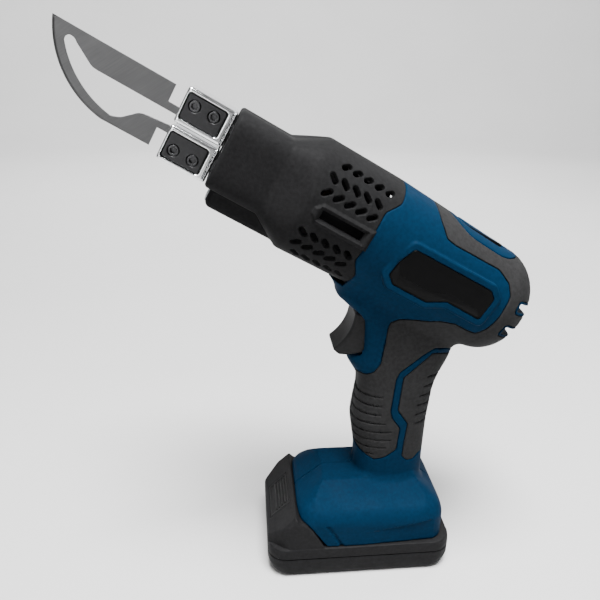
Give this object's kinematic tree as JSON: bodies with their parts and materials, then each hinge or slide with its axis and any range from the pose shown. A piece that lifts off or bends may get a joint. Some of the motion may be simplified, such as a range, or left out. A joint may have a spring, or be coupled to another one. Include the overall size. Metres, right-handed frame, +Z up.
{
  "type": "cordless hot knife",
  "caption": "Cordless pistol-grip hot knife with a clamped loop blade, vented barrel, rubber grips and a slide-on battery pack.",
  "frame": {"origin": "middle of the battery pack's flat underside", "axes": "+Z up, nose and blade towards -X, left side of the tool towards -Y"},
  "size_m": [0.2545, 0.076, 0.3214],
  "materials": {
    "blade_steel": "brushed",
    "clamp_chrome": "polished",
    "jaw_dark": "satin",
    "black_oxide": "satin",
    "cover_black": "fine texture",
    "housing_blue": "satin",
    "grip_rubber": "fine texture",
    "badge_black": "smooth",
    "insert_black": "matte",
    "trigger_grey": "satin",
    "pack_black": "fine texture",
    "lamp_clear": "clear",
    "board_green": "satin",
    "copper": "smooth",
    "core_dark": "matte",
    "winding_enamel": "gloss",
    "insulator_cream": "matte",
    "fan_black": "satin",
    "sink_alloy": "satin",
    "screw_steel": "satin",
    "wire_sleeve": "smooth",
    "switch_black": "satin",
    "cell_wrap": "smooth",
    "nickel": "satin",
    "contact_brass": "smooth"
  },
  "bodies": {
    "tool": {"blade": "blade_steel", "upper_clamp_block": "clamp_chrome", "lower_clamp_block": "clamp_chrome", "upper_clamp_plate": "jaw_dark", "lower_clamp_plate": "jaw_dark", "clamp_screws": "black_oxide", "terminal_insulator": "insulator_cream", "upper_busbar": "copper", "lower_busbar": "copper", "secondary_turn": "copper", "transformer_core": "core_dark", "primary_winding": "winding_enamel", "front_cover_left": "cover_black", "front_cover_right": "cover_black", "cover_screws": "screw_steel", "lamp_lens": "lamp_clear", "lamp_board": "board_green", "housing_left": "housing_blue", "housing_right": "housing_blue", "housing_screws": "screw_steel", "grip_left": "grip_rubber", "grip_right": "grip_rubber", "back_grip_left": "grip_rubber", "back_grip_right": "grip_rubber", "badge_left": "badge_black", "badge_right": "badge_black", "top_insert": "insert_black", "control_board": "board_green", "heat_sink": "sink_alloy", "fan_frame": "fan_black", "trigger_switch": "switch_black", "wiring": "wire_sleeve", "terminal_block": "switch_black", "terminal_blades": "contact_brass"},
    "trigger": {"trigger": "trigger_grey"},
    "fan_rotor": {"fan_rotor": "fan_black"},
    "battery": {"battery_case_lower": "pack_black", "battery_case_upper": "pack_black", "battery_cells": "cell_wrap", "cell_holder": "insulator_cream", "nickel_strips": "nickel", "battery_board": "board_green", "battery_terminals": "contact_brass", "latch_springs": "screw_steel", "battery_screws": "screw_steel"},
    "release_button": {"release_button": "trigger_grey"}
  },
  "joints": [
    {"name": "trigger_pull", "type": "slide", "parent": "tool", "child": "trigger", "axis": [1, 0, 0], "range_m": [0, 0.006], "stiffness_N_per_m": 500, "springref_m": -0.004},
    {"name": "fan_spin", "type": "hinge", "parent": "tool", "child": "fan_rotor", "pos_m": [0.06109, 0, 0.17796], "axis": [0.8704, 0, -0.4924], "continuous": true},
    {"name": "battery_slide", "type": "slide", "parent": "tool", "child": "battery", "axis": [-1, 0, 0], "range_m": [0, 0.1]},
    {"name": "button_press", "type": "slide", "parent": "battery", "child": "release_button", "axis": [0.6968, 0, -0.7172], "range_m": [0, 0.003], "stiffness_N_per_m": 700, "springref_m": -0.002, "deforming": ["latch_springs"]}
  ]
}
